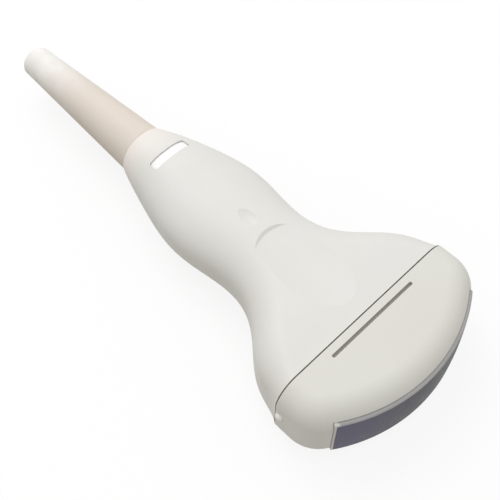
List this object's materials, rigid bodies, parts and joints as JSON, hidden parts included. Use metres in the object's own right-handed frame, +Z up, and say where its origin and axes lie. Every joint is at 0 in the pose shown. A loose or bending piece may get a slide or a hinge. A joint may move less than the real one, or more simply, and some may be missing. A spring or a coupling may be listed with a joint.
{
  "type": "ultrasound transducer probe",
  "caption": "Convex ultrasound transducer probe: moulded handle flaring into a wide curved head, dark lens strip on the nose, tapered strain-relief boot at the cable end.",
  "frame": {"origin": "middle of the footprint on the surface the probe lies on", "axes": "+X along the probe from the cable end to the nose, +Y to the side away from the orientation marker, +Z up out of the face with the thumb scoop"},
  "size_m": [0.185, 0.075, 0.0276],
  "materials": {
    "housing": "fine satin moulded finish, warm off-white",
    "label_film": "smooth white film, bare",
    "nose_plastic": "fine satin moulded finish, slightly warmer off-white",
    "gasket_rubber": "soft dark grey sealing rubber",
    "lens_silicone": "smooth dark blue-grey silicone",
    "bead_sealant": "light grey silicone sealant",
    "matching_resin": "filled epoxy",
    "piezo_ceramic": "diced piezo ceramic",
    "backing_resin": "dark filled absorber",
    "carrier_aluminium": "milled aluminium",
    "screw_steel": "plain steel",
    "board_laminate": "green board laminate",
    "connector_plastic": "black connector plastic",
    "inductor_ferrite": "dark ferrite",
    "flex_film": "amber polyimide film",
    "gland_brass": "turned brass",
    "boot_rubber": "soft warm beige elastomer"
  },
  "bodies": {
    "root": {"handle_shell": "housing", "label_plate": "label_film", "nosepiece": "nose_plastic", "seam_gasket": "gasket_rubber", "acoustic_lens": "lens_silicone", "lens_seal_bead": "bead_sealant", "matching_layer": "matching_resin", "element_array": "piezo_ceramic", "backing_block": "backing_resin", "array_carrier": "carrier_aluminium", "carrier_screws": "screw_steel", "chassis_spine": "carrier_aluminium", "cable_clamp_bar": "carrier_aluminium", "clamp_screws": "screw_steel", "interconnect_board_upper": "board_laminate", "interconnect_board_lower": "board_laminate", "flex_connectors": "connector_plastic", "tuning_inductors": "inductor_ferrite", "board_screws": "screw_steel", "flex_circuit_upper": "flex_film", "flex_circuit_lower": "flex_film", "cable_gland": "gland_brass", "strain_relief_boot": "boot_rubber"}
  },
  "joints": []
}
